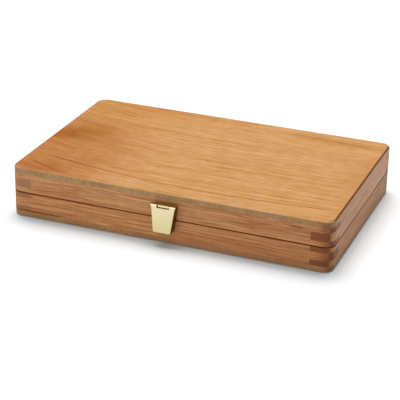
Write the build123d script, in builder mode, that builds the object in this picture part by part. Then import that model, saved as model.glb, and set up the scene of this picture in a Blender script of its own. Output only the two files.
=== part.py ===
from build123d import *
import os

# A travel backgammon set: a finger-jointed cherry box of two equal halves, hinged at the back and held shut by
# a small brass flap latch at the front. Opened flat, the halves are the board. A trough along the latch side
# of the lower half keeps thirty checkers on edge, with two dice and a doubling cube between the two rows.
#
# Millimetres. The origin is the centre of the underside, +X runs along the long side, +Y points to the hinges
# and +Z up. Each half is drawn from its own outer face towards the seam, so one function makes both.

# Box: overall size and boards
box_length = 200.0
box_width = 127.0
wall = 13.0  # thickness of the four rails of a half
rail_height = 12.0
core_thickness = 3.1
veneer_thickness = 0.7
corner_radius = 6.4  # upright corners
edge_radius = 1.5  # long outer edges of the two panels
seam_bevel = 0.4
middle_finger_extra = 1.8  # how much higher the middle finger of a corner joint is than the outer two

# Playing field, one in each half
lining_thickness = 0.6
points_per_row = 6
point_length = 70.0
point_gap = 0.7  # between neighbouring points, at their base
point_margin = 1.2  # from the rail to the base of a point
point_tip = 0.5  # width of the blunt tip

# Checkers and the trough along the latch side that keeps them
checkers_per_side = 15
checker_side_gap = 0.4  # between checkers on neighbouring points
checker_row_gap = 0.1  # between checkers in the trough
checker_edge_radius = 0.55
groove_radius = 5.0  # turned groove on both faces of a checker
groove_width = 0.8
groove_depth = 0.35
trough_clearance = 0.3
row_end_clearance = 0.5
seat_clearance = 0.1  # under the round edge of a checker
divider_thickness = 2.2
divider_drop = 0.5  # from the seam to the top of a divider
stop_height = 8.0

# Dice
die_size = 8.0
die_edge_radius = 0.9
pip_radius = 0.75
pip_depth = 0.4
pip_spacing = 2.1
cube_size = 10.0
cube_edge_radius = 0.8
dice_gap = 2.0  # between a die and the doubling cube
well_end_clearance = 1.3  # between a die and the stop beside it

# Butt hinges, let into the seam faces of the back rails
hinge_length = 22.0
hinge_inset = 30.0  # from the end of the box to the middle of a hinge
hinge_offset = 0.6  # from the back of the box out to the hinge line
leaf_thickness = 0.8
leaf_depth = 9.0
knuckle_radius = 1.5
knuckle_play = 0.1  # between neighbouring knuckles
knuckle_relief = 0.3  # between a knuckle and the wood
hinge_pin_radius = 0.7
pin_clearance = 0.05
screw_radius = 0.7
screw_head_radius = 1.4
screw_length = 6.0
screw_spacing = 12.0
screw_from_edge = 2.8  # from the inner edge of a leaf
screw_sink = 0.05
screw_slot_width = 0.35
screw_slot_depth = 0.25

# Flap latch on the front
latch_sheet = 0.6
latch_top_width = 15.3  # at the latch pin
latch_bottom_width = 11.3
latch_pin_rise = 9.2  # from the seam up to the latch pin
latch_pin_out = 3.3  # from the front of the box out to the latch pin
latch_knuckle_radius = 1.3
latch_pin_radius = 0.5
latch_drop = 16.1  # from the latch pin down to the lower edge of the flap
latch_foot_out = 6.5  # how far the lower edge of the flap stands out
latch_bend_radius = 0.55
latch_corner_radius = 1.0
skirt_gap = 0.4  # between the sides of the flap and the wood
skirt_rise = 0.6  # how much higher the skirts end at the wood than at the flap's face
knuckle_slot = 7.8  # opening between the flap's two knuckles
slot_clearance = 0.12  # between the slot and the plate's knuckle
plate_knuckle = 6.6
plate_knuckle_shift = 0.3
plate_width = 10.0
plate_rise = 1.4  # from the seam up to the lower edge of the latch plate
strike_width = 8.0
strike_top_drop = 1.0  # from the seam down to the top of the strike plate
strike_height = 5.8
strike_lip_drop = 5.2  # from the seam down to the strike's lip
strike_lip_width = 6.0
strike_lip_out = 2.2  # from the front of the box out to the edge of the lip
catch_clearance = 0.3  # between the strike's lip and the flap's turned-in foot
nail_radius = 0.45
nail_head_radius = 0.85
nail_head_height = 0.4
nail_length = 6.0
plate_nail_spacing = 6.4
plate_nail_rise = 4.0  # from the seam up to the latch plate's nails
strike_nail_spacing = 4.4
strike_nail_drop = 2.2  # from the seam down to the strike's nails

# What follows from them: the case
panel_thickness = core_thickness + veneer_thickness
seam_height = panel_thickness + rail_height
box_height = 2 * seam_height
inner_length = box_length - 2 * wall
inner_width = box_width - 2 * wall
floor_height = panel_thickness + lining_thickness
outer_finger = (rail_height - middle_finger_extra) / 3
middle_finger = outer_finger + middle_finger_extra
hinge_y = box_width / 2 + hinge_offset
front_y = -box_width / 2
latch_pin_y = front_y - latch_pin_out
latch_pin_z = seam_height + latch_pin_rise

# Across the board: the points, the divider and a trough one checker wide
width_for_checkers = inner_width - divider_thickness - 2 * trough_clearance
checker_diameter = (width_for_checkers - points_per_row * checker_side_gap) / (points_per_row + 1)
trough_width = checker_diameter + 2 * trough_clearance
trough_y = -inner_width / 2 + trough_width / 2
divider_y = -inner_width / 2 + trough_width + divider_thickness / 2
point_pitch = checker_diameter + checker_side_gap
point_base = point_pitch - point_gap

# Along the trough: the dice in the middle, a stop on each side of them and the rows in what is left
dice_spacing = (cube_size + die_size) / 2 + dice_gap
well_length = 2 * dice_spacing + die_size + 2 * well_end_clearance
stop_x = (well_length + divider_thickness) / 2
row_length = (inner_length - well_length) / 2 - divider_thickness - 2 * row_end_clearance
checker_pitch = row_length / checkers_per_side
checker_thickness = checker_pitch - checker_row_gap

# A half's own plane lies on its outer face and looks towards the seam. The lid's is turned over about X, so
# the hinge side is at +Y in the base's plane and at -Y in the lid's.
half_planes = {
    "base": Plane.XY,
    "lid": Plane(origin=(0, 0, box_height), x_dir=(1, 0, 0), z_dir=(0, 0, -1)),
}
back_signs = {"base": 1, "lid": -1}
middle_finger_on_front = {"base": True, "lid": False}

os.makedirs("parts", exist_ok=True)


def write(part, name):
    part.label = name
    export_step(part, f"parts/{name}.step")


def seamward(half):
    return Axis((0, 0, 0), half_planes[half].z_dir)


# Panels: a core with a veneer on its outer face, their long edges rounded as one
def panel_layer(half, keep):
    plane = half_planes[half]
    with BuildPart() as layer:
        with BuildSketch(plane):
            RectangleRounded(box_length, box_width, corner_radius)
        extrude(amount=panel_thickness)
        fillet(layer.edges().group_by(seamward(half))[0], edge_radius)
        split(bisect_by=plane.offset(veneer_thickness), keep=keep)
    return layer.part


# Rails: one blank ring for each half, divided among four rails by the fingers
def frame_blank(half):
    with BuildPart() as blank:
        with BuildSketch(half_planes[half].offset(panel_thickness)):
            RectangleRounded(box_length, box_width, corner_radius)
            Rectangle(inner_length, inner_width, mode=Mode.SUBTRACT)
        extrude(amount=rail_height)
        chamfer(blank.faces().sort_by(seamward(half))[-1].edges(), seam_bevel)
    return blank.part


def finger_layers():
    """Where each layer of fingers starts above the panel, its height, and whether it is the middle one."""
    return [
        (0, outer_finger, False),
        (outer_finger, middle_finger, True),
        (outer_finger + middle_finger, outer_finger, False),
    ]


def rail(half, centre, plain_size, full_size, owns_middle):
    """One rail, full_size in the layers where its fingers fill the corners and plain_size in the others."""
    blank = frame_blank(half)
    with BuildPart() as bar:
        for start, height, is_middle in finger_layers():
            size = full_size if is_middle == owns_middle else plain_size
            with BuildSketch(half_planes[half].offset(panel_thickness + start)):
                with Locations(centre):
                    Rectangle(*size)
            extrude(amount=height)
        add(blank, mode=Mode.INTERSECT)
    return bar.part


def long_rail(half, side):
    """A front or back rail. side is 1 at the hinges and -1 at the latch."""
    centre = (0, side * back_signs[half] * (box_width - wall) / 2)
    return rail(half, centre, (inner_length, wall), (box_length, wall), middle_finger_on_front[half])


def short_rail(half, side):
    """A left or right rail. side is -1 on the left and 1 on the right."""
    centre = (side * (box_length - wall) / 2, 0)
    return rail(half, centre, (wall, inner_width), (wall, box_width), not middle_finger_on_front[half])


# Hinges
hinge_places = {
    "left": -box_length / 2 + hinge_inset,
    "right": box_length / 2 - hinge_inset,
}
knuckle_length = hinge_length / 3
leaf_screw_y = hinge_y - leaf_depth + screw_from_edge


def leaf_screw_places(half, hinge_x):
    """The two screws of a leaf, at the seam, looking into the half's own rail."""
    seam = half_planes[half].offset(seam_height)
    across = [-screw_spacing / 2, screw_spacing / 2]
    return [seam.location * Location((hinge_x + dx, back_signs[half] * leaf_screw_y, 0)) for dx in across]


def back_rail(half):
    """The back rail with its mortises, knuckle reliefs and screw holes."""
    plain_rail = long_rail(half, 1)
    seam = half_planes[half].offset(seam_height)
    leaf_y = back_signs[half] * (hinge_y - leaf_depth / 2)
    relief_radius = knuckle_radius + knuckle_relief
    with BuildPart() as bored_rail:
        add(plain_rail)
        for hinge_x in hinge_places.values():
            with BuildSketch(seam):
                with Locations((hinge_x, leaf_y)):
                    Rectangle(hinge_length, leaf_depth)
            extrude(amount=-leaf_thickness, mode=Mode.SUBTRACT)
            with Locations((hinge_x, hinge_y, seam_height)):
                Cylinder(relief_radius, hinge_length, rotation=(0, 90, 0), mode=Mode.SUBTRACT)
            with Locations(leaf_screw_places(half, hinge_x)):
                Hole(screw_radius, depth=screw_length)
    return bored_rail.part


def hinge_leaf(half, hinge_x, own_knuckles):
    """One leaf of a hinge. own_knuckles are the knuckles it carries, out of -1, 0 and 1 along X."""
    seam = half_planes[half].offset(seam_height)
    sign = back_signs[half]
    others = [place for place in (-1, 0, 1) if place not in own_knuckles]
    notch_width = 2 * (knuckle_radius + knuckle_relief)
    bore_radius = hinge_pin_radius + pin_clearance
    with BuildPart() as leaf:
        with BuildSketch(seam):
            with Locations((hinge_x, sign * (hinge_y - leaf_depth / 2))):
                Rectangle(hinge_length, leaf_depth)
            with Locations([(hinge_x + place * knuckle_length, sign * hinge_y) for place in others]):
                Rectangle(knuckle_length + knuckle_play, notch_width, mode=Mode.SUBTRACT)
        extrude(amount=-leaf_thickness)
        with Locations([(hinge_x + place * knuckle_length, hinge_y, seam_height) for place in own_knuckles]):
            Cylinder(knuckle_radius, knuckle_length - knuckle_play, rotation=(0, 90, 0))
        with Locations((hinge_x, hinge_y, seam_height)):
            Cylinder(bore_radius, hinge_length, rotation=(0, 90, 0), mode=Mode.SUBTRACT)
        with Locations(leaf_screw_places(half, hinge_x)):
            CounterSinkHole(screw_radius, screw_head_radius, depth=leaf_thickness, counter_sink_angle=90)
    return leaf.part


def hinge_pin(hinge_x):
    with BuildPart() as pin:
        with Locations((hinge_x, hinge_y, seam_height)):
            Cylinder(hinge_pin_radius, hinge_length, rotation=(0, 90, 0))
    return pin.part


def hinge_screws(half):
    """The four screws of a half's two leaves, heads just under the seam."""
    head_height = screw_head_radius - screw_sink - screw_radius
    places = [place for hinge_x in hinge_places.values() for place in leaf_screw_places(half, hinge_x)]
    with BuildPart() as screws:
        with Locations(places):
            with Locations((0, 0, -screw_sink - head_height / 2)):
                Cone(screw_radius, screw_head_radius - screw_sink, head_height)
            with Locations((0, 0, -(screw_sink + head_height + screw_length) / 2)):
                Cylinder(screw_radius, screw_length - screw_sink - head_height)
            with Locations((0, 0, -screw_sink - screw_slot_depth / 2)):
                Box(2 * screw_head_radius, screw_slot_width, screw_slot_depth, mode=Mode.SUBTRACT)
    return screws.part


# Playing field: a veneer lining with twelve points let into it
def point_places(half, is_dark):
    """Where the dark or light points of a half stand. Colours alternate along a row, across the field and over
    the hinge line. A place is the middle of a point's base, turned so that the point runs along its own X."""
    places = []
    for row, turn in ((-1, 0), (1, 180)):
        for step in range(points_per_row):
            starts_dark = (row > 0) == (half == "lid")
            if (step % 2 == 0) == (starts_dark == is_dark):
                point_x = row * (inner_length / 2 - point_margin)
                from_hinge = inner_width / 2 - (step + 0.5) * point_pitch
                places.append(Location((point_x, back_signs[half] * from_hinge, 0), (0, 0, turn)))
    return places


def point_outline():
    half_base = point_base / 2
    half_tip = point_tip / 2
    return [(0, -half_base), (point_length, -half_tip), (point_length, half_tip), (0, half_base)]


def inlaid_points(half, is_dark):
    with BuildPart() as points:
        with BuildSketch(half_planes[half].offset(panel_thickness)):
            with Locations(point_places(half, is_dark)):
                Polygon(*point_outline(), align=None)
        extrude(amount=lining_thickness)
    return points.part


def field_lining(half):
    with BuildPart() as lining:
        with BuildSketch(half_planes[half].offset(panel_thickness)):
            Rectangle(inner_length, inner_width)
            with Locations(point_places(half, True) + point_places(half, False)):
                Polygon(*point_outline(), align=None, mode=Mode.SUBTRACT)
        extrude(amount=lining_thickness)
    return lining.part


def trough_divider(half):
    """The long strip between the field and the trough."""
    with BuildPart() as divider:
        with BuildSketch(half_planes[half].offset(floor_height)):
            with Locations((0, back_signs[half] * divider_y)):
                Rectangle(inner_length, divider_thickness)
        extrude(amount=rail_height - lining_thickness - divider_drop)
    return divider.part


def trough_stop(side):
    """The stop between a row of checkers and the dice."""
    with BuildPart() as stop:
        with BuildSketch(Plane.XY.offset(floor_height)):
            with Locations((side * stop_x, trough_y)):
                Rectangle(divider_thickness, trough_width)
        extrude(amount=stop_height)
    return stop.part


# Checkers
def checker():
    """One checker, its axis along X, with a turned groove on both faces."""
    with BuildPart() as turned:
        Cylinder(checker_diameter / 2, checker_thickness, rotation=(0, 90, 0))
        fillet(turned.edges().filter_by(GeomType.CIRCLE), checker_edge_radius)
        with BuildSketch(*turned.faces().filter_by(Axis.X)):
            Circle(groove_radius)
            Circle(groove_radius - groove_width, mode=Mode.SUBTRACT)
        extrude(amount=-groove_depth, mode=Mode.SUBTRACT)
    return turned.part


def checker_row(side):
    """One side's checkers on edge in the trough, from the end rail inwards."""
    axis_z = floor_height + seat_clearance + checker_diameter / 2
    first_x = inner_length / 2 - row_end_clearance - checker_pitch / 2
    places = [(side * (first_x - step * checker_pitch), trough_y, axis_z) for step in range(checkers_per_side)]
    one_checker = checker()
    with BuildPart() as row:
        with Locations(places):
            add(one_checker)
    return row.part


# Dice: opposite faces add up to seven
def pip_places(count):
    """Where the pips of a face lie, in the face's own plane, for one to six."""
    near = pip_spacing
    corners = [(-near, -near), (near, near)]
    other_corners = [(-near, near), (near, -near)]
    sides = [(-near, 0), (near, 0)]
    layout = {
        1: [(0, 0)],
        2: corners,
        3: corners + [(0, 0)],
        4: corners + other_corners,
        5: corners + other_corners + [(0, 0)],
        6: corners + other_corners + sides,
    }
    return [(x, y, pip_radius - pip_depth) for x, y in layout[count]]


def die(centre_x, top, front, right):
    """A die on the trough's floor, with these counts on its top, front and right faces."""
    centre = Vector(centre_x, trough_y, floor_height + die_size / 2)
    faces = [
        ((0, 0, 1), top),
        ((0, 0, -1), 7 - top),
        ((0, -1, 0), front),
        ((0, 1, 0), 7 - front),
        ((1, 0, 0), right),
        ((-1, 0, 0), 7 - right),
    ]
    with BuildPart() as block:
        with Locations(centre):
            Box(die_size, die_size, die_size)
        fillet(block.edges(), die_edge_radius)
        for normal, count in faces:
            face_plane = Plane(origin=centre + Vector(*normal) * (die_size / 2), z_dir=normal)
            with Locations(face_plane):
                with Locations(pip_places(count)):
                    Sphere(pip_radius, mode=Mode.SUBTRACT)
    return block.part


def doubling_cube():
    with BuildPart() as cube:
        with Locations((0, trough_y, floor_height + cube_size / 2)):
            Box(cube_size, cube_size, cube_size)
        fillet(cube.edges(), cube_edge_radius)
    return cube.part


# Latch: a plate and pin on the lid, a flap that swings on them, and a strike on the base
def front_nail_places(spacing, height):
    """A pair of nail holes in the front of the box, looking out."""
    return [Location((x, front_y, height), (90, 0, 0)) for x in (-spacing / 2, spacing / 2)]


plate_nail_z = seam_height + plate_nail_rise
strike_nail_z = seam_height - strike_nail_drop
nail_rows = {
    "base": (strike_nail_spacing, strike_nail_z),
    "lid": (plate_nail_spacing, plate_nail_z),
}


def front_rail(half):
    plain_rail = long_rail(half, -1)
    with BuildPart() as bored_rail:
        add(plain_rail)
        with Locations(front_nail_places(*nail_rows[half])):
            Hole(nail_radius, depth=nail_length)
    return bored_rail.part


def nails(half):
    with BuildPart() as pair:
        with Locations(front_nail_places(*nail_rows[half])):
            with Locations((0, 0, latch_sheet / 2 - nail_length / 2)):
                Cylinder(nail_radius, nail_length + latch_sheet)
            with Locations((0, 0, latch_sheet + nail_head_height / 2)):
                Cylinder(nail_head_radius, nail_head_height)
        fillet(pair.edges().group_by(Axis.Y)[0], nail_head_height / 2)
    return pair.part


def latch_plate():
    """The plate nailed to the lid, its upper end bent out and rolled round the pin."""
    plate_foot = seam_height + plate_rise
    plate_top = latch_pin_z - latch_knuckle_radius + latch_sheet
    with BuildPart() as plate:
        with BuildSketch(Plane.XZ.offset(-front_y)):
            with Locations((0, (plate_foot + plate_top) / 2)):
                RectangleRounded(plate_width, plate_top - plate_foot, latch_sheet)
        extrude(amount=latch_sheet)
        with Locations((plate_knuckle_shift, latch_pin_y, latch_pin_z)):
            Cylinder(latch_knuckle_radius, plate_knuckle, rotation=(0, 90, 0))
            with Locations((0, latch_pin_out / 2, -latch_knuckle_radius + latch_sheet / 2)):
                Box(plate_knuckle, latch_pin_out, latch_sheet)
            Cylinder(latch_pin_radius + pin_clearance, plate_width, rotation=(0, 90, 0), mode=Mode.SUBTRACT)
        with Locations(front_nail_places(*nail_rows["lid"])):
            with Locations((0, 0, latch_sheet)):
                Hole(nail_radius, depth=latch_sheet)
    return plate.part


def strike_plate():
    """The plate nailed to the base, with the lip that the flap's foot catches under."""
    strike_top = seam_height - strike_top_drop
    lip_z = seam_height - strike_lip_drop
    with BuildPart() as strike:
        with BuildSketch(Plane.XZ.offset(-front_y)):
            with Locations((0, strike_top - strike_height / 2)):
                RectangleRounded(strike_width, strike_height, latch_sheet)
        extrude(amount=latch_sheet)
        with Locations((0, front_y - strike_lip_out / 2, lip_z)):
            Box(strike_lip_width, strike_lip_out, latch_sheet)
        with Locations(front_nail_places(*nail_rows["base"])):
            with Locations((0, 0, latch_sheet)):
                Hole(nail_radius, depth=latch_sheet)
    return strike.part


def latch_pin():
    with BuildPart() as pin:
        with Locations((0, latch_pin_y, latch_pin_z)):
            Cylinder(latch_pin_radius, latch_top_width, rotation=(0, 90, 0))
    return pin.part


# The flap's side view: its face leans out downwards and its skirts reach back to the wood
flap_head = (latch_pin_y - latch_knuckle_radius, latch_pin_z)
flap_foot = (front_y - latch_foot_out, latch_pin_z - latch_drop)
skirt_foot = (front_y - skirt_gap, flap_foot[1] + skirt_rise)
skirt_head = (front_y - skirt_gap, latch_pin_z - latch_knuckle_radius / 2)
catch_y = front_y - strike_lip_out - catch_clearance
foot_slope = skirt_rise / (skirt_foot[0] - flap_foot[0])


def flap_front(inset, corner_radius):
    """The flap as it looks from the front, drawn in by inset: narrower downwards, with round lower corners."""
    half_top = latch_top_width / 2 - inset
    half_foot = latch_bottom_width / 2 - inset
    with BuildSketch(Plane.XZ.offset(-front_y - skirt_gap)) as front:
        Polygon(
            (-half_top, flap_head[1]),
            (-half_foot, flap_foot[1]),
            (half_foot, flap_foot[1]),
            (half_top, flap_head[1]),
            align=None,
        )
        if corner_radius:
            fillet(front.vertices().group_by(Axis.Z)[0], corner_radius)
    return front.sketch


def flap_blank():
    """The wedge that the flap fills, with the edges of its face bent over."""
    front = flap_front(0, latch_corner_radius)
    with BuildPart() as wedge:
        with BuildSketch(Plane.YZ):
            Polygon(flap_head, flap_foot, skirt_foot, skirt_head, align=None)
        extrude(amount=latch_top_width / 2, both=True)
        extrude(front, amount=latch_foot_out + skirt_gap, mode=Mode.INTERSECT)
        face_edges = wedge.faces().sort_by(Axis.Y)[0].edges()
        fillet(face_edges.sort_by(Axis.Z)[:-1], latch_bend_radius)
    return wedge.part


def flap_hollow():
    """What the flap's sheet encloses: open towards the wood, and at the foot behind its turned-in edge."""
    front = flap_front(latch_sheet, 0)
    beyond = front_y + skirt_gap
    with BuildPart() as hollow:
        with BuildSketch(Plane.YZ):
            Polygon(
                (flap_head[0] + latch_sheet, flap_head[1]),
                (flap_foot[0] + latch_sheet, flap_foot[1] + latch_sheet),
                (catch_y, flap_foot[1] + latch_sheet + (catch_y - flap_foot[0]) * foot_slope),
                (catch_y, flap_foot[1]),
                (beyond, flap_foot[1]),
                (beyond, flap_head[1]),
                align=None,
            )
        extrude(amount=latch_top_width / 2, both=True)
        extrude(front, amount=latch_foot_out + skirt_gap, mode=Mode.INTERSECT)
    return hollow.part


def latch_flap():
    """The flap: one sheet bent into a shallow hood, hung on the pin by two knuckles."""
    blank = flap_blank()
    hollow = flap_hollow()
    knuckle = (latch_top_width - knuckle_slot) / 2
    knuckle_x = (latch_top_width - knuckle) / 2
    slot_reach = 2 * (latch_knuckle_radius + slot_clearance)
    bore_radius = latch_pin_radius + pin_clearance
    with BuildPart() as flap:
        add(blank)
        add(hollow, mode=Mode.SUBTRACT)
        with Locations((0, latch_pin_y, latch_pin_z)):
            Box(knuckle_slot, slot_reach, slot_reach, mode=Mode.SUBTRACT)
            with Locations((-knuckle_x, 0, 0), (knuckle_x, 0, 0)):
                Cylinder(latch_knuckle_radius, knuckle, rotation=(0, 90, 0))
            Cylinder(bore_radius, latch_top_width, rotation=(0, 90, 0), mode=Mode.SUBTRACT)
    return flap.part


# Each half's boards, lining and hinge screws
for half in half_planes:
    write(panel_layer(half, Keep.TOP), f"{half}_panel")
    write(panel_layer(half, Keep.BOTTOM), f"{half}_veneer")
    write(front_rail(half), f"{half}_front_rail")
    write(back_rail(half), f"{half}_back_rail")
    write(short_rail(half, -1), f"{half}_left_rail")
    write(short_rail(half, 1), f"{half}_right_rail")
    write(field_lining(half), f"{half}_lining")
    write(inlaid_points(half, True), f"{half}_dark_points")
    write(inlaid_points(half, False), f"{half}_light_points")
    write(trough_divider(half), f"{half}_divider")
    write(hinge_screws(half), f"{half}_hinge_screws")

# The two hinges
for side, hinge_x in hinge_places.items():
    write(hinge_leaf("base", hinge_x, (-1, 1)), f"{side}_hinge_base_leaf")
    write(hinge_leaf("lid", hinge_x, (0,)), f"{side}_hinge_lid_leaf")
    write(hinge_pin(hinge_x), f"{side}_hinge_pin")

# The latch
write(latch_flap(), "latch_flap")
write(latch_plate(), "latch_plate")
write(latch_pin(), "latch_pin")
write(nails("lid"), "latch_plate_nails")
write(strike_plate(), "latch_strike")
write(nails("base"), "latch_strike_nails")

# What the trough holds
write(trough_stop(-1), "left_trough_stop")
write(trough_stop(1), "right_trough_stop")
write(checker_row(-1), "light_checkers")
write(checker_row(1), "dark_checkers")
write(die(-dice_spacing, 5, 4, 1), "die_1")
write(die(dice_spacing, 3, 6, 2), "die_2")
write(doubling_cube(), "doubling_cube")
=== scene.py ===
"""The looks of a travel backgammon set: a closed cherry case with finger joints and a brass flap latch.

Every board, leaf and checker comes from the frame and keeps its shape. This script gives them their
finishes, adds the numbers of the doubling cube, and sets up the camera and light. Grain and marks are worked
out in millimetres on each piece's own coordinates."""

import math

import bmesh
import bpy
from mathutils import Matrix, Vector


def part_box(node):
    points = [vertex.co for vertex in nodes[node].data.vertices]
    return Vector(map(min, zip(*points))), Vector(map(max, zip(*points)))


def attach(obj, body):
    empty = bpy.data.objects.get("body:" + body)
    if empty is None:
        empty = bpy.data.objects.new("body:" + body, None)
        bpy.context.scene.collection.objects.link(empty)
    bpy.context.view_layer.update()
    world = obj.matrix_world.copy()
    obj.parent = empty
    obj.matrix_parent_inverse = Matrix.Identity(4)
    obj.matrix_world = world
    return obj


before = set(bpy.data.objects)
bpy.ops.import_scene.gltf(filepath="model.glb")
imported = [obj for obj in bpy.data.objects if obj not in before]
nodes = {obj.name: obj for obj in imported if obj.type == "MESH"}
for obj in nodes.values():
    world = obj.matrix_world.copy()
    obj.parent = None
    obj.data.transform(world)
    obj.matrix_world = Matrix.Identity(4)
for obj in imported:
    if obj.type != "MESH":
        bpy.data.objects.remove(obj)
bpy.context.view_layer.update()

MM = 0.001
scene = bpy.context.scene


# Helpers for materials. The three settings below mix colours, multiply them, and smooth a step.
MIX = {"data_type": "RGBA", "output": 2}
TINT = {"data_type": "RGBA", "blend_type": "MULTIPLY", "output": 2}
SMOOTH = {"interpolation_type": "SMOOTHSTEP"}


def linear(hex_colour):
    """An sRGB hex colour as linear red, green, blue and alpha."""
    parts = [int(hex_colour[i : i + 2], 16) / 255 for i in (1, 3, 5)]
    return tuple(c / 12.92 if c <= 0.04045 else ((c + 0.055) / 1.055) ** 2.4 for c in parts) + (1.0,)


def add(tree, kind, inputs=None, output=0, **settings):
    """Adds a node with its settings. Its inputs are values or other nodes' outputs. Returns one output, or
    with None the node."""
    node = tree.nodes.new(kind)
    for key, value in settings.items():
        setattr(node, key, value)
    for key, value in (inputs or {}).items():
        if isinstance(value, bpy.types.NodeSocket):
            tree.links.new(value, node.inputs[key])
        else:
            node.inputs[key].default_value = value
    return node if output is None else node.outputs[output]


def new_material(name):
    """A material with its shader and nothing else: the material, its tree and the shader."""
    material = bpy.data.materials.new(name)
    material.use_nodes = True
    tree = material.node_tree
    tree.nodes.clear()
    shader = add(tree, "ShaderNodeBsdfPrincipled", output=None)
    add(tree, "ShaderNodeOutputMaterial", {"Surface": shader.outputs[0]}, output=None)
    return material, tree, shader


def millimetres(tree):
    """The place on the piece in millimetres, along X, Y and Z."""
    place = add(tree, "ShaderNodeTexCoord", output="Object")
    place = add(tree, "ShaderNodeVectorMath", {0: place, "Scale": 1 / MM}, operation="SCALE")
    return add(tree, "ShaderNodeSeparateXYZ", {0: place}, None).outputs


def facing(tree):
    """The surface's direction on the piece itself, along X, Y and Z."""
    normal = add(tree, "ShaderNodeTexCoord", output="Normal")
    return add(tree, "ShaderNodeSeparateXYZ", {0: normal}, None).outputs


def finish(names, material):
    """Gives a material to the named nodes of the frame."""
    for name in names:
        slots = nodes[name].data.materials
        slots.clear()
        slots.append(material)


# Wood. Its grain is a sum of soft noises. Each has a length along the grain and a width across it, in
# millimetres, and a strength. The short wide one at the end is the figure that runs across the grain.
VENEER = ((240, 9, 0.4), (120, 2.2, 0.8), (30, 0.9, 1.3), (9, 0.8, 1.1), (8, 20, 0.4))
BOARD = ((200, 6, 0.4), (120, 1.1, 1.3), (30, 0.6, 1.8), (3, 9, 0.2))
# A sawn edge of plywood has only short marks and slow clouds
SAWN_EDGE = ((3, 1.6, 0.8), (30, 14, 0.9))
BEND_AT = 100  # millimetres from the middle, where the bends of a veneer's grain are given


def grain_layer(tree, grain, length, width, detail=2.0):
    """Noise around 0 whose marks are about length by width, in millimetres along and across the grain."""
    size = (1 / length, 1 / width, 1 / width)
    scaled = add(tree, "ShaderNodeVectorMath", {0: grain, 1: size}, operation="MULTIPLY")
    noise = {"Vector": scaled, "Scale": 1.0, "Detail": detail, "Roughness": 0.55}
    noise = add(tree, "ShaderNodeTexNoise", noise)
    return add(tree, "ShaderNodeMath", {0: noise, 1: 0.5}, operation="SUBTRACT")


def along_the_grain(tree, along, turn, seed, sweep, gather=0.08):
    """Millimetres turned so that X runs along the grain, which wanders a little from side to side. To the
    left of the middle its lines curve sideways by sweep millimetres. With a sweep, they also draw together to
    the right, by the share gather. Both are what they reach at BEND_AT."""
    place = add(tree, "ShaderNodeTexCoord", output="Object")
    quarter = {"X": (0, 0, 0), "Y": (0, 0, -math.pi / 2), "Z": (0, math.pi / 2, 0)}[along]
    mapping = {"Vector": place, "Rotation": (quarter[0], quarter[1], quarter[2] - turn),
               "Scale": (1 / MM, 1 / MM, 1 / MM)}
    straight = add(tree, "ShaderNodeMapping", mapping)
    if sweep:
        parts = add(tree, "ShaderNodeSeparateXYZ", {0: straight}, None).outputs
        left = add(tree, "ShaderNodeMath", {0: parts[0], 1: 0.0}, operation="MINIMUM")
        left = add(tree, "ShaderNodeMath", {0: left, 1: 2.0}, operation="POWER")
        left = add(tree, "ShaderNodeMath", {0: left, 1: -sweep / BEND_AT**2}, operation="MULTIPLY")
        right = add(tree, "ShaderNodeMath", {0: parts[0], 1: 0.0}, operation="MAXIMUM")
        right = add(tree, "ShaderNodeMath", {0: right, 1: 2.0}, operation="POWER")
        right = add(tree, "ShaderNodeMath", {0: right, 1: parts[1]}, operation="MULTIPLY")
        bent = {0: right, 1: gather / BEND_AT**2, 2: left}
        bent = add(tree, "ShaderNodeMath", bent, operation="MULTIPLY_ADD")
        bent = add(tree, "ShaderNodeCombineXYZ", {1: bent})
        straight = add(tree, "ShaderNodeVectorMath", {0: straight, 1: bent}, operation="ADD")
    moved = (seed * 37, seed * 11, seed * 5)
    moved = add(tree, "ShaderNodeVectorMath", {0: straight, 1: moved}, operation="ADD")
    slow = add(tree, "ShaderNodeVectorMath", {0: moved, 1: (1 / 60, 1 / 25, 1 / 25)}, operation="MULTIPLY")
    # it wanders by up to 2 mm to each side, over stretches of 60 by 25 mm
    sway = add(tree, "ShaderNodeTexNoise", {"Vector": slow, "Scale": 1.0, "Detail": 1.0}, "Color")
    sway = add(tree, "ShaderNodeVectorMath", {0: sway, 1: (0.5, 0.5, 0.5)}, operation="SUBTRACT")
    return add(tree, "ShaderNodeVectorMath", {0: sway, 1: (0, 4, 4), 2: moved}, operation="MULTIPLY_ADD")


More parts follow.
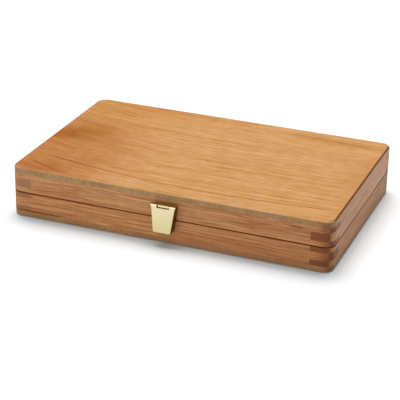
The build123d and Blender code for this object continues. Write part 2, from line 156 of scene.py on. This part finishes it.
def wood(name, late, early, along="X", turn=0.0, seed=0.0, layers=BOARD, end=None, sweep=0.0, roughness=0.5,
         gloss=0.15, marks=()):
    """Wood under satin lacquer. late and early are its dark and pale grain, and end is the colour of its end
    grain. Each of the marks is a function that draws more on the colour."""
    material, tree, shader = new_material(name)
    grain = along_the_grain(tree, along, turn, seed, sweep)
    value = 0.5
    for length, width, strength in layers:
        layer = grain_layer(tree, grain, length, width)
        value = add(tree, "ShaderNodeMath", {0: layer, 1: strength, 2: value}, operation="MULTIPLY_ADD")
    value = add(tree, "ShaderNodeClamp", {"Value": value})
    wood_colour = add(tree, "ShaderNodeMix", {0: value, 6: linear(late), 7: linear(early)}, **MIX)
    # short open pores, drawn wider than the real 0.1 mm so that they show
    pores = grain_layer(tree, grain, 4, 0.4, 1.0)
    pores = add(tree, "ShaderNodeMapRange", {0: pores, 1: 0.08, 2: 0.22}, **SMOOTH)
    pitted = add(tree, "ShaderNodeMath", {0: pores, 1: 0.35}, operation="MULTIPLY")
    colour = add(tree, "ShaderNodeMix", {0: pitted, 6: wood_colour, 7: linear("#D0A078")}, **TINT)
    if end:
        # end grain shows where the surface faces along the grain
        across = add(tree, "ShaderNodeMath", {0: facing(tree)["XYZ".index(along)]}, operation="ABSOLUTE")
        across = add(tree, "ShaderNodeMapRange", {0: across, 1: 0.45, 2: 0.85}, **SMOOTH)
        fleck = add(tree, "ShaderNodeMix", {0: pores, 6: linear(end), 7: linear("#C8B0A0")}, **TINT)
        colour = add(tree, "ShaderNodeMix", {0: across, 6: colour, 7: fleck}, **MIX)
    for mark in marks:
        colour = mark(tree, colour, grain)
    tree.links.new(colour, shader.inputs["Base Color"])
    shader.inputs["Roughness"].default_value = roughness
    shader.inputs["IOR"].default_value = 1.5
    shader.inputs["Specular IOR Level"].default_value = gloss
    # late wood and pores lie hundredths of a millimetre deeper
    relief = add(tree, "ShaderNodeMath", {0: value, 1: pores}, operation="SUBTRACT")
    bump = add(tree, "ShaderNodeBump", {"Height": relief, "Strength": 0.3, "Distance": 0.04 * MM})
    tree.links.new(bump, shader.inputs["Normal"])
    return material


def dark_line(start, slope, first, last, half_width, tint, curve=0.0, height=False):
    """A mark: a soft dark line from first to last along X. Where X is 0 it lies at start, across in Y or up
    in Z, and it rises by slope and curve from there."""

    def draw(tree, colour, grain):
        place = millimetres(tree)
        path = add(tree, "ShaderNodeMath", {0: place[0], 1: curve, 2: slope}, operation="MULTIPLY_ADD")
        path = add(tree, "ShaderNodeMath", {0: path, 1: place[0], 2: start}, operation="MULTIPLY_ADD")
        off = add(tree, "ShaderNodeMath", {0: place[2 if height else 1], 1: path}, operation="SUBTRACT")
        shake = grain_layer(tree, grain, 14, 9)
        off = add(tree, "ShaderNodeMath", {0: shake, 1: 3 * half_width, 2: off}, operation="MULTIPLY_ADD")
        off = add(tree, "ShaderNodeMath", {0: off}, operation="ABSOLUTE")
        mask = add(tree, "ShaderNodeMapRange", {0: off, 1: 1.6 * half_width, 2: 0.2 * half_width}, **SMOOTH)
        fade = min(12, (last - first) / 3)
        for end, inner in ((first, first + fade), (last, last - fade)):
            near = add(tree, "ShaderNodeMapRange", {0: place[0], 1: end, 2: inner}, **SMOOTH)
            mask = add(tree, "ShaderNodeMath", {0: mask, 1: near}, operation="MULTIPLY")
        return add(tree, "ShaderNodeMix", {0: mask, 6: colour, 7: linear(tint)}, **TINT)

    return draw


def cloud(x, y, reach_x, reach_y, tint, ragged=2.0):
    """A mark: a ragged darker patch of the veneer around x and y."""

    def draw(tree, colour, grain):
        place = millimetres(tree)
        off_x = add(tree, "ShaderNodeMath", {0: place[0], 1: x}, operation="SUBTRACT")
        off_y = add(tree, "ShaderNodeMath", {0: place[1], 1: y}, operation="SUBTRACT")
        off = add(tree, "ShaderNodeCombineXYZ", {0: off_x, 1: off_y})
        size = (1 / reach_x, 1 / reach_y, 0)
        off = add(tree, "ShaderNodeVectorMath", {0: off, 1: size}, operation="MULTIPLY")
        off = add(tree, "ShaderNodeVectorMath", {0: off}, "Value", operation="LENGTH")
        shake = grain_layer(tree, grain, 13, 7, 3.0)
        off = add(tree, "ShaderNodeMath", {0: shake, 1: ragged, 2: off}, operation="MULTIPLY_ADD")
        mask = add(tree, "ShaderNodeMapRange", {0: off, 1: 1.3, 2: 0.3}, **SMOOTH)
        return add(tree, "ShaderNodeMix", {0: mask, 6: colour, 7: linear(tint)}, **TINT)

    return draw


def amber_end(tree, colour, grain):
    """A mark: the veneer turns amber towards its left end, and browner there in the half near the latch."""
    shake = grain_layer(tree, grain, 40, 14, 3.0)
    place = millimetres(tree)
    across = add(tree, "ShaderNodeMath", {0: shake, 1: 70.0, 2: place[0]}, operation="MULTIPLY_ADD")
    amber = add(tree, "ShaderNodeMapRange", {0: across, 1: -22, 2: -80}, **SMOOTH)
    colour = add(tree, "ShaderNodeMix", {0: amber, 6: colour, 7: linear("#F4EAC8")}, **TINT)
    across = add(tree, "ShaderNodeMath", {0: shake, 1: 50.0, 2: place[1]}, operation="MULTIPLY_ADD")
    near_latch = add(tree, "ShaderNodeMapRange", {0: across, 1: 42, 2: 12}, **SMOOTH)
    brown = add(tree, "ShaderNodeMath", {0: amber, 1: near_latch}, operation="MULTIPLY")
    return add(tree, "ShaderNodeMix", {0: brown, 6: colour, 7: linear("#EFE0E4")}, **TINT)


def soaked_edge(tree, colour, grain):
    """A mark: painted shade on the rounded edge at the sides and back."""
    normal = facing(tree)
    rounded = add(tree, "ShaderNodeMapRange", {0: normal[2], 1: 0.995, 2: 0.95}, **SMOOTH)
    front = add(tree, "ShaderNodeMapRange", {0: normal[1], 1: -0.35, 2: -0.1}, **SMOOTH)
    mask = add(tree, "ShaderNodeMath", {0: rounded, 1: front}, operation="MULTIPLY")
    return add(tree, "ShaderNodeMix", {0: mask, 6: colour, 7: linear("#947A3C")}, **TINT)


def rubbed_edge(tree, colour, grain):
    """A mark: a painted highlight along the front edge, on both sides of the latch."""
    front = add(tree, "ShaderNodeMapRange", {0: facing(tree)[1], 1: -0.1, 2: -0.4, 4: 0.22}, **SMOOTH)
    along = millimetres(tree)[0]
    beside = add(tree, "ShaderNodeMath", {0: along}, operation="ABSOLUTE")
    beside = add(tree, "ShaderNodeMapRange", {0: beside, 1: 8, 2: 30}, **SMOOTH)
    before_corner = add(tree, "ShaderNodeMapRange", {0: along, 1: 82, 2: 68}, **SMOOTH)
    highlight_and_rolling_marks = add(tree, "ShaderNodeMath", {0: front, 1: beside}, operation="MULTIPLY")
    highlight_and_rolling_marks = add(tree, "ShaderNodeMath", {0: highlight_and_rolling_marks, 1: before_corner}, operation="MULTIPLY")
    return add(tree, "ShaderNodeMix", {0: highlight_and_rolling_marks, 6: colour, 7: linear("#F4D0A0")}, **MIX)


def handled_corner(tint, first=88, last=97):
    """A mark: painted shade on the upright corner at the front right, from first to last along X."""

    def draw(tree, colour, grain):
        place = millimetres(tree)
        right = add(tree, "ShaderNodeMapRange", {0: place[0], 1: first, 2: last}, **SMOOTH)
        front = add(tree, "ShaderNodeMapRange", {0: place[1], 1: -55, 2: -62}, **SMOOTH)
        mask = add(tree, "ShaderNodeMath", {0: right, 1: front}, operation="MULTIPLY")
        return add(tree, "ShaderNodeMix", {0: mask, 6: colour, 7: linear(tint)}, **TINT)

    return draw


def darker_right(tree, colour, grain):
    """A mark: the piece grows a little darker towards the right end of the case."""
    right = add(tree, "ShaderNodeMapRange", {0: millimetres(tree)[0], 1: -10, 2: 85})
    return add(tree, "ShaderNodeMix", {0: right, 6: colour, 7: linear("#F1EBED")}, **TINT)


def pale_side(tint):
    """A mark: painted sheen on the right side of a core, which looks paler and pinker there."""

    def draw(tree, colour, grain):
        side = add(tree, "ShaderNodeMapRange", {0: facing(tree)[0], 1: 0.5, 2: 0.9, 4: 0.8}, **SMOOTH)
        return add(tree, "ShaderNodeMix", {0: side, 6: colour, 7: linear(tint)}, **MIX)

    return draw


def darker_front(tree, colour, grain):
    """A mark: the right side grows a little darker towards the front."""
    front = add(tree, "ShaderNodeMapRange", {0: millimetres(tree)[1], 1: 15, 2: -40})
    side = add(tree, "ShaderNodeMapRange", {0: facing(tree)[0], 1: 0.5, 2: 0.9}, **SMOOTH)
    mask = add(tree, "ShaderNodeMath", {0: front, 1: side}, operation="MULTIPLY")
    return add(tree, "ShaderNodeMix", {0: mask, 6: colour, 7: linear("#F0EEE9")}, **TINT)


# The height at which the two halves meet, in millimetres
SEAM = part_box("base_front_rail")[1][2] / MM


def seam_line(tree, colour, grain):
    """A mark: painted shade on the bevels where the two halves meet, but not on the faces that touch."""
    off = add(tree, "ShaderNodeMath", {0: millimetres(tree)[2], 1: SEAM}, operation="SUBTRACT")
    off = add(tree, "ShaderNodeMath", {0: off}, operation="ABSOLUTE")
    near = add(tree, "ShaderNodeMapRange", {0: off, 1: 0.6, 2: 0.3}, **SMOOTH)
    level = add(tree, "ShaderNodeMath", {0: facing(tree)[2]}, operation="ABSOLUTE")
    bevel = add(tree, "ShaderNodeMapRange", {0: level, 1: 0.95, 2: 0.85})
    mask = add(tree, "ShaderNodeMath", {0: near, 1: bevel}, operation="MULTIPLY")
    return add(tree, "ShaderNodeMix", {0: mask, 6: colour, 7: linear("#AA7638")}, **TINT)


# Late wood of the lid's veneer: where a line crosses the middle, where it starts and the tint it gives
LATE_WOOD = (
    (-40.4, -50, "#E8DEC4"),
    (-34.0, -10, "#F0E8D8"),
    (-27.6, -30, "#E8DEC4"),
    (-21.5, 0, "#EEE6D4"),
    (-14.5, 10, "#E8DEC4"),
    (-9.0, -20, "#F0E8D8"),
    (-4.0, 5, "#F2EADC"),
    (1.5, 15, "#F0E8D8"),
    (6.5, -5, "#F0E8D8"),
)
# Cherry veneer, sliced and lacquered to a satin: warm honey with fine grain that runs the length of the case
# and curves towards the hinges at its left end
LID_MARKS = [
    amber_end,
    *(dark_line(start, -0.005, first, 95, 0.55, tint) for start, first, tint in LATE_WOOD),
    cloud(-82, 5, 14, 14, "#EAE2A6"),
    cloud(-97, -4, 13, 12, "#EFD88C", 1.0),
    cloud(-84, -57, 18, 10, "#ECE2C6", 1.2),
    cloud(-36, 57, 45, 11, "#FAF2E0", 1.0),
    cloud(62, 50, 42, 7, "#F8F4E8", 1.0),
    cloud(101, -8, 13, 58, "#F4EFEB", 0.5),
    dark_line(-51.3, -0.055, -90, 98, 0.7, "#DECDAA", 0.0011),
    dark_line(56.5, -0.06, 30, 96, 0.6, "#E6DAB8"),
    dark_line(51.5, -0.02, 40, 96, 0.6, "#ECE0C6"),
    dark_line(-89.2, -0.42, -99, -64, 0.8, "#DCCCA0"),
    # painted shade along the rounded side and back edges
    soaked_edge,
    # a painted highlight along the front edge
    rubbed_edge,
]
lid_veneer = wood("cherry_veneer_lid", "#BE8142", "#E3AF77", seed=1, layers=VENEER, sweep=12, gloss=0.05,
                  marks=LID_MARKS)
finish(["lid_veneer"], lid_veneer)
base_veneer = wood("cherry_veneer_base", "#B87F3E", "#D9A066", turn=math.radians(2), seed=2, layers=VENEER)
finish(["base_veneer"], base_veneer)

# Solid cherry rails, planed and lacquered: redder than the veneer, with straight fine grain and darker end
# grain on the fingers. Late wood, early wood and end grain of each board. The right side's boards are paler
# and pinker than the rest: painted sheen.
RAILS = {
    "lid_front": ("#B06C3B", "#E7AC76", "#A87C58"),
    "base_front": ("#B26B3A", "#E5A970", "#A2704E"),
    "lid_right": ("#CD8F6A", "#FECCA0", "#905834"),
    "base_right": ("#AF7B4E", "#DFA675", "#8E5734"),
    "lid_left": ("#B0744A", "#E2AC7C", "#B48058"),
    "base_left": ("#AC7044", "#DEA472", "#AE7850"),
    "lid_back": ("#AC6C3C", "#E2AC78", "#C69A7A"),
    "base_back": ("#B0703C", "#E0A470", "#B68A66"),
}
# A mineral streak in the lid's front rail, and a gap in the glue under the base's rails at the left corner
STREAK = dark_line(25.6, 0.0, 73, 84, 0.4, "#B07858", height=True)
GLUE_GAP = dark_line(4.0, 0.0, -106, -62, 0.45, "#906040", height=True)
RAIL_MARKS = {"lid_front": [STREAK], "base_front": [GLUE_GAP], "base_left": [GLUE_GAP]}
for seed, (place, (late, early, end)) in enumerate(RAILS.items(), 3):
    along = "X" if place.endswith(("front", "back")) else "Y"
    # painted shade in the seam's bevels
    marks = [*RAIL_MARKS.get(place, []), seam_line]
    if place.endswith("front"):
        # painted shade at the front right corner
        marks += [darker_right, handled_corner("#D2BEB2")]
    if place == "lid_right":
        marks.append(darker_front)
    if place.endswith("right"):
        # painted shade at the front right corner
        marks.append(handled_corner("#F0E6E0"))
    rail = wood(f"cherry_{place}_rail", late, early, along, seed=seed, end=end, marks=marks)
    finish([f"{place}_rail"], rail)

# Plywood core, sawn and stained: a greyer band with short upright grain. Dark grain, pale grain and the
# colour of the painted sheen on the right side of each half.
PANELS = {
    "lid_panel": ("#91693E", "#D6AB79", "#F2C8A4"),
    "base_panel": ("#9E703F", "#D19C6E", "#C39A7E"),
}
for seed, (panel, (late, early, side)) in enumerate(PANELS.items(), 12):
    # painted sheen on the right side, and painted shade at the front right corner
    marks = [pale_side(side), darker_right, darker_front, handled_corner("#D8CCC4", 93, 99)]
    core = wood(f"plywood_{panel}", late, early, "Z", seed=seed, layers=SAWN_EDGE, roughness=0.6, marks=marks)
    finish([panel], core)

# Inlaid veneers and thin cherry boards, sanded and lacquered: the plain field, dark walnut and pale maple
# points, and redder dividers and stops. Dark and pale grain of each.
LINING = ("#B0763F", "#CE9C64")
WALNUT = ("#33190D", "#573421")
MAPLE = ("#D6B07A", "#EBCFA0")
TRIM = ("#A2643A", "#C48854")
for seed, half in enumerate(("lid", "base")):
    finish([f"{half}_lining"], wood(f"cherry_lining_{half}", *LINING, seed=20 + seed))
    finish([f"{half}_dark_points"], wood(f"walnut_points_{half}", *WALNUT, seed=22 + seed))
    finish([f"{half}_light_points"], wood(f"maple_points_{half}", *MAPLE, seed=24 + seed))
    finish([f"{half}_divider"], wood(f"cherry_divider_{half}", *TRIM, seed=26 + seed))
finish(["left_trough_stop", "right_trough_stop"], wood("cherry_stops", *TRIM, "Y", seed=28))


def checker_tones(row, count=15):
    """A mark: each checker of the row a little darker or paler than the next."""
    low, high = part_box(row)
    pitch = (high[0] - low[0]) / count / MM

    def draw(tree, colour, grain):
        step = {0: millimetres(tree)[0], 1: low[0] / MM}
        step = add(tree, "ShaderNodeMath", step, operation="SUBTRACT")
        step = add(tree, "ShaderNodeMath", {0: step, 1: pitch}, operation="DIVIDE")
        step = add(tree, "ShaderNodeMath", {0: step}, operation="FLOOR")
        tone = add(tree, "ShaderNodeTexWhiteNoise", {"W": step}, noise_dimensions="1D")
        return add(tree, "ShaderNodeMix", {0: tone, 6: colour, 7: linear("#D8C4A8")}, **TINT)

    return draw


# Turned checkers of maple and walnut, polished: a soft gloss, with a tone of its own for each
for seed, (row, tones) in enumerate({"light_checkers": MAPLE, "dark_checkers": WALNUT}.items(), 30):
    marks = [checker_tones(row)]
    turned = wood(f"turned_{row}", *tones, "Y", seed=seed, roughness=0.3, gloss=0.4, marks=marks)
    finish([row], turned)


# Stamped brass under clear lacquer: pale and satin, with fine rolling marks. On the flap, in millimetres: the
# height where it begins to turn greener, the height where it is greenest, and half the width of its notch.
GREENER_BELOW = 23
GREENEST_AT = 9
HALF_NOTCH = 4.3


def brass(name, face, shade, roughness, skirt_shade=None):
    """Brass that varies from face to shade. skirt_shade is the colour of a flap's skirts, painted shade on
    them.
    Such a flap is also a little greener towards its foot, and darkest on top, where shade is painted."""
    material, tree, shader = new_material(name)
    place = add(tree, "ShaderNodeTexCoord", output="Object")
    dull = add(tree, "ShaderNodeTexNoise", {"Vector": place, "Scale": 70.0, "Detail": 2.0})
    dull = add(tree, "ShaderNodeMapRange", {0: dull, 1: 0.25, 2: 0.75})
    if skirt_shade:
        low = add(tree, "ShaderNodeMapRange", {0: millimetres(tree)[2], 1: GREENER_BELOW, 2: GREENEST_AT})
        dull = add(tree, "ShaderNodeMix", {0: 0.65, 2: dull, 3: low}, data_type="FLOAT")
    colour = add(tree, "ShaderNodeMix", {0: dull, 6: linear(face), 7: linear(shade)}, **MIX)
    if skirt_shade:
        normal = facing(tree)
        # painted shade on the skirts, where they face sideways
        # the skirts lie further out than the notch for the knuckle, whose walls face sideways too
        out = add(tree, "ShaderNodeMath", {0: millimetres(tree)[0]}, operation="ABSOLUTE")
        out = add(tree, "ShaderNodeMapRange", {0: out, 1: HALF_NOTCH, 2: HALF_NOTCH + 0.3})
        side = add(tree, "ShaderNodeMath", {0: normal[0]}, operation="ABSOLUTE")
        side = add(tree, "ShaderNodeMapRange", {0: side, 1: 0.1, 2: 0.6}, **SMOOTH)
        side = add(tree, "ShaderNodeMath", {0: side, 1: out}, operation="MULTIPLY")
        colour = add(tree, "ShaderNodeMix", {0: side, 6: colour, 7: linear(skirt_shade)}, **MIX)
        # painted shade on the rolled top edge
        top = add(tree, "ShaderNodeMapRange", {0: normal[2], 1: 0.42, 2: 0.68}, **SMOOTH)
        colour = add(tree, "ShaderNodeMix", {0: top, 6: colour, 7: linear("#4A3206")}, **MIX)
    tree.links.new(colour, shader.inputs["Base Color"])
    shader.inputs["Metallic"].default_value = 1.0
    highlight_and_rolling_marks = add(tree, "ShaderNodeVectorMath", {0: place, 1: (400, 400, 9000)}, operation="MULTIPLY")
    highlight_and_rolling_marks = add(tree, "ShaderNodeTexNoise", {"Vector": highlight_and_rolling_marks, "Scale": 1.0, "Detail": 1.0})
    satin = {0: highlight_and_rolling_marks, 3: roughness - 0.08, 4: roughness + 0.08}
    tree.links.new(add(tree, "ShaderNodeMapRange", satin), shader.inputs["Roughness"])
    return material


# the flap and the plate get painted shade on their skirts and tops
finish(["latch_flap"], brass("latch_brass", "#E5D4AD", "#D2C58E", 0.38, "#765009"))
finish(["latch_plate", "latch_strike"], brass("latch_plate_brass", "#D8C898", "#C6B47C", 0.38, "#5E3C0A"))
# Hinges, pins, screws and nails of duller, browner brass
fittings = [n for n in nodes if "screws" in n or "nails" in n or "leaf" in n or n.endswith("_pin")]
finish(fittings, brass("fitting_brass", "#9C8658", "#86724A", 0.42))


# Cast acrylic, tumbled to a gloss: warm ivory with a faint cloudiness, and black paint left in a die's pips.
# In millimetres, how far below a face the paint begins and how far from the edges.
PIP_FROM_FACE = 0.03
PIP_FROM_EDGE = 0.93


def acrylic(name, die=None):
    """Ivory acrylic. On a die, what lies deeper than PIP_FROM_FACE and inside PIP_FROM_EDGE is painted."""
    material, tree, shader = new_material(name)
    place = add(tree, "ShaderNodeTexCoord", output="Object")
    cloudy = add(tree, "ShaderNodeTexNoise", {"Vector": place, "Scale": 220.0, "Detail": 2.0})
    colour = add(tree, "ShaderNodeMix", {0: cloudy, 6: linear("#E6DAC0"), 7: linear("#F2EAD6")}, **MIX)
    if die:
        low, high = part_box(die)
        half = (high[0] - low[0]) / 2 / MM
        centre = [(a + b) / 2 for a, b in zip(low, high)]
        out = add(tree, "ShaderNodeVectorMath", {0: place, 1: centre}, operation="SUBTRACT")
        out = add(tree, "ShaderNodeVectorMath", {0: out, "Scale": 1 / MM}, operation="SCALE")
        out = add(tree, "ShaderNodeVectorMath", {0: out}, operation="ABSOLUTE")
        x, y, z = add(tree, "ShaderNodeSeparateXYZ", {0: out}, None).outputs
        most = add(tree, "ShaderNodeMath", {0: x, 1: y}, operation="MAXIMUM")
        least = add(tree, "ShaderNodeMath", {0: x, 1: y}, operation="MINIMUM")
        inner = add(tree, "ShaderNodeMath", {0: most, 1: z}, operation="MINIMUM")
        middle = add(tree, "ShaderNodeMath", {0: least, 1: inner}, operation="MAXIMUM")
        most = add(tree, "ShaderNodeMath", {0: most, 1: z}, operation="MAXIMUM")
        # sunk below a face, and away from the rounded edges
        sunk = add(tree, "ShaderNodeMath", {0: most, 1: half - PIP_FROM_FACE}, operation="LESS_THAN")
        inside = add(tree, "ShaderNodeMath", {0: middle, 1: half - PIP_FROM_EDGE}, operation="LESS_THAN")
        painted = add(tree, "ShaderNodeMath", {0: sunk, 1: inside}, operation="MULTIPLY")
        colour = add(tree, "ShaderNodeMix", {0: painted, 6: colour, 7: linear("#1C1816")}, **MIX)
    tree.links.new(colour, shader.inputs["Base Color"])
    shader.inputs["Roughness"].default_value = 0.2
    shader.inputs["Subsurface Weight"].default_value = 0.1
    shader.inputs["Subsurface Radius"].default_value = (0.002, 0.0015, 0.001)
    return material


for die in ("die_1", "die_2"):
    finish([die], acrylic(f"ivory_acrylic_{die}", die))
finish(["doubling_cube"], acrylic("ivory_acrylic_cube"))


# The doubling cube's numbers, printed in black ink: a matt film that is a little uneven in shade and gloss
def printed_ink():
    """Black ink."""
    material, tree, shader = new_material("black_printing_ink")
    place = add(tree, "ShaderNodeTexCoord", output="Object")
    uneven = add(tree, "ShaderNodeTexNoise", {"Vector": place, "Scale": 1500.0, "Detail": 2.0})
    shade = {0: uneven, 6: linear("#181412"), 7: linear("#2C2622")}
    tree.links.new(add(tree, "ShaderNodeMix", shade, **MIX), shader.inputs["Base Color"])
    tree.links.new(add(tree, "ShaderNodeMapRange", {0: uneven, 3: 0.4, 4: 0.7}), shader.inputs["Roughness"])
    return material


FACES = {  # number: direction out of the face, direction up the number
    64: ((0, 0, 1), (0, 1, 0)),
    2: ((0, 0, -1), (0, -1, 0)),
    4: ((0, -1, 0), (0, 0, 1)),
    32: ((0, 1, 0), (0, 0, 1)),
    8: ((1, 0, 0), (0, 0, 1)),
    16: ((-1, 0, 0), (0, 0, 1)),
}
INK_DEPTH = 0.02 * MM
ONE_DIGIT = 6.4 * MM
TWO_DIGITS = 5.6 * MM
ink = printed_ink()
cube_low, cube_high = (Vector(corner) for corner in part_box("doubling_cube"))
for value, (outward, upward) in FACES.items():
    text = bpy.data.curves.new(f"number_{value}", "FONT")
    text.body = str(value)
    text.size = ONE_DIGIT if value < 10 else TWO_DIGITS
    text.align_x, text.align_y = "CENTER", "CENTER"
    text.extrude = INK_DEPTH
    text.resolution_u = 4
    draft = bpy.data.objects.new("draft", text)
    scene.collection.objects.link(draft)
    bpy.context.view_layer.update()
    mesh = bpy.data.meshes.new_from_object(draft.evaluated_get(bpy.context.evaluated_depsgraph_get()))
    bpy.data.objects.remove(draft)
    outward, upward = Vector(outward), Vector(upward)
    face_centre = (cube_low + cube_high) / 2 + outward * (cube_high.x - cube_low.x) / 2
    turn = Matrix((upward.cross(outward), upward, outward)).transposed().to_4x4()
    mesh.transform(Matrix.Translation(face_centre) @ turn)
    shape = bmesh.new()
    shape.from_mesh(mesh)
    bmesh.ops.remove_doubles(shape, verts=shape.verts, dist=0.001 * MM)
    bmesh.ops.recalc_face_normals(shape, faces=shape.faces)
    shape.to_mesh(mesh)
    shape.free()
    mesh.name = f"number_{value}"
    mesh.materials.clear()
    mesh.materials.append(ink)
    number = bpy.data.objects.new(f"number_{value}", mesh)
    scene.collection.objects.link(number)
    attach(number, "cube")


# Camera: the photograph's place, angles and lens, worked out from the box's edges
CAMERA_PLACE = Vector((283.0, -748.3, 364.8)) * MM
YAW, PITCH, ROLL = math.radians(20.94), math.radians(24.45), math.radians(1.15)
camera_data = bpy.data.cameras.new("camera")
camera_data.sensor_width = 36.0
camera_data.lens = 127.9
camera_data.clip_start = 0.01
camera = bpy.data.objects.new("camera", camera_data)
scene.collection.objects.link(camera)
turn = Matrix.Rotation(YAW, 4, "Z") @ Matrix.Rotation(math.pi / 2 - PITCH, 4, "X")
turn = turn @ Matrix.Rotation(ROLL, 4, "Z")
camera.matrix_world = Matrix.Translation(CAMERA_PLACE) @ turn
scene.camera = camera


# Floor and light
def floor():
    """A pale floor that the camera sees as white, with the box's shadow on it. The wood throws warm light on
    it, but the photograph's shadow is grey and deepest along the box. So for the camera, the floor is bluer
    in front, and painted shadow darkens it along the front and right side."""
    mesh = bpy.data.meshes.new("floor")
    reach = 3.0  # metres
    corners = [(-reach, -reach, 0), (reach, -reach, 0), (reach, reach, 0), (-reach, reach, 0)]
    mesh.from_pydata(corners, [], [(0, 1, 2, 3)])
    plane = bpy.data.objects.new("floor", mesh)
    scene.collection.objects.link(plane)
    material, tree, shader = new_material("white_floor")
    place = millimetres(tree)
    half_length, half_width = (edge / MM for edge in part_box("base_panel")[1][:2])
    in_front = add(tree, "ShaderNodeMath", {0: place[1], 1: -1.0, 2: -half_width}, operation="MULTIPLY_ADD")
    to_right = add(tree, "ShaderNodeMath", {0: place[0], 1: half_length}, operation="SUBTRACT")
    # Each strip paints shade colour on the floor: bluer in the widest, darker in the two near the box. Per
    # strip:
    # how far off the box it begins and is full, where along the box, the same for its two ends, and its
    # colour.
    # It also ends a little way under the box.
    painted_shadow_strips = (
        (in_front, 22, 14, place[0], (-106, -84), (108, 86), (1.10, 1.17, 1.21, 1)),
        (in_front, 9, 3, place[0], (-102, -90), (106, 94), (0.88, 1.05, 1.14, 1)),
        (to_right, 7, 1, place[1], (-74, -62), (66, 56), (0.93, 1.0, 1.03, 1)),
    )
    colour = (1.05, 1.08, 1.10, 1)
    for off, outer, full, along, start, end, shade in painted_shadow_strips:
        strip = add(tree, "ShaderNodeMapRange", {0: off, 1: outer, 2: full}, **SMOOTH)
        for value, (clear, shaded) in ((off, (-12, -4)), (along, start), (along, end)):
            part = add(tree, "ShaderNodeMapRange", {0: value, 1: clear, 2: shaded}, **SMOOTH)
            strip = add(tree, "ShaderNodeMath", {0: strip, 1: part}, operation="MULTIPLY")
        colour = add(tree, "ShaderNodeMix", {0: strip, 6: colour, 7: shade}, **MIX)
    seen = add(tree, "ShaderNodeLightPath", output="Is Camera Ray")
    colour = add(tree, "ShaderNodeMix", {0: seen, 6: (0.78, 0.81, 0.84, 1), 7: colour}, **MIX)
    tree.links.new(colour, shader.inputs["Base Color"])
    shader.inputs["Roughness"].default_value = 0.9
    shader.inputs["Specular IOR Level"].default_value = 0.0
    mesh.materials.append(material)


def soft_sun(name, level, spread, direction):
    """A distant lamp as wide as spread degrees, shining along direction."""
    lamp = bpy.data.lights.new(name, "SUN")
    lamp.energy = level
    lamp.angle = math.radians(spread)
    sun = bpy.data.objects.new(name, lamp)
    sun.rotation_mode = "QUATERNION"
    sun.rotation_quaternion = Vector(direction).to_track_quat("-Z", "Y")
    scene.collection.objects.link(sun)


def white_world(level):
    """A white room: level lights the object, and camera, glossy and see-through rays meet plain white."""
    world = bpy.data.worlds.new("room")
    world.use_nodes = True
    tree = world.node_tree
    tree.nodes.clear()
    path = add(tree, "ShaderNodeLightPath", output=None).outputs
    seen = {0: path["Is Camera Ray"], 1: path["Is Glossy Ray"]}
    seen = add(tree, "ShaderNodeMath", seen, operation="MAXIMUM")
    seen = add(tree, "ShaderNodeMath", {0: seen, 1: path["Is Transmission Ray"]}, operation="MAXIMUM")
    strength = add(tree, "ShaderNodeMapRange", {"Value": seen, "To Min": level, "To Max": 1.0})
    room = add(tree, "ShaderNodeBackground", {"Color": (1, 1, 1, 1), "Strength": strength})
    add(tree, "ShaderNodeOutputWorld", {"Surface": room}, output=None)
    scene.world = world


floor()
# A broad light from above and a little behind, and a weaker one from the front
soft_sun("overhead", 2.75, 54, (0.13, -0.33, -1))
soft_sun("front_card", 1.2, 60, (0.25, 1, -0.1))
white_world(0.15)

scene.view_settings.view_transform = "Standard"
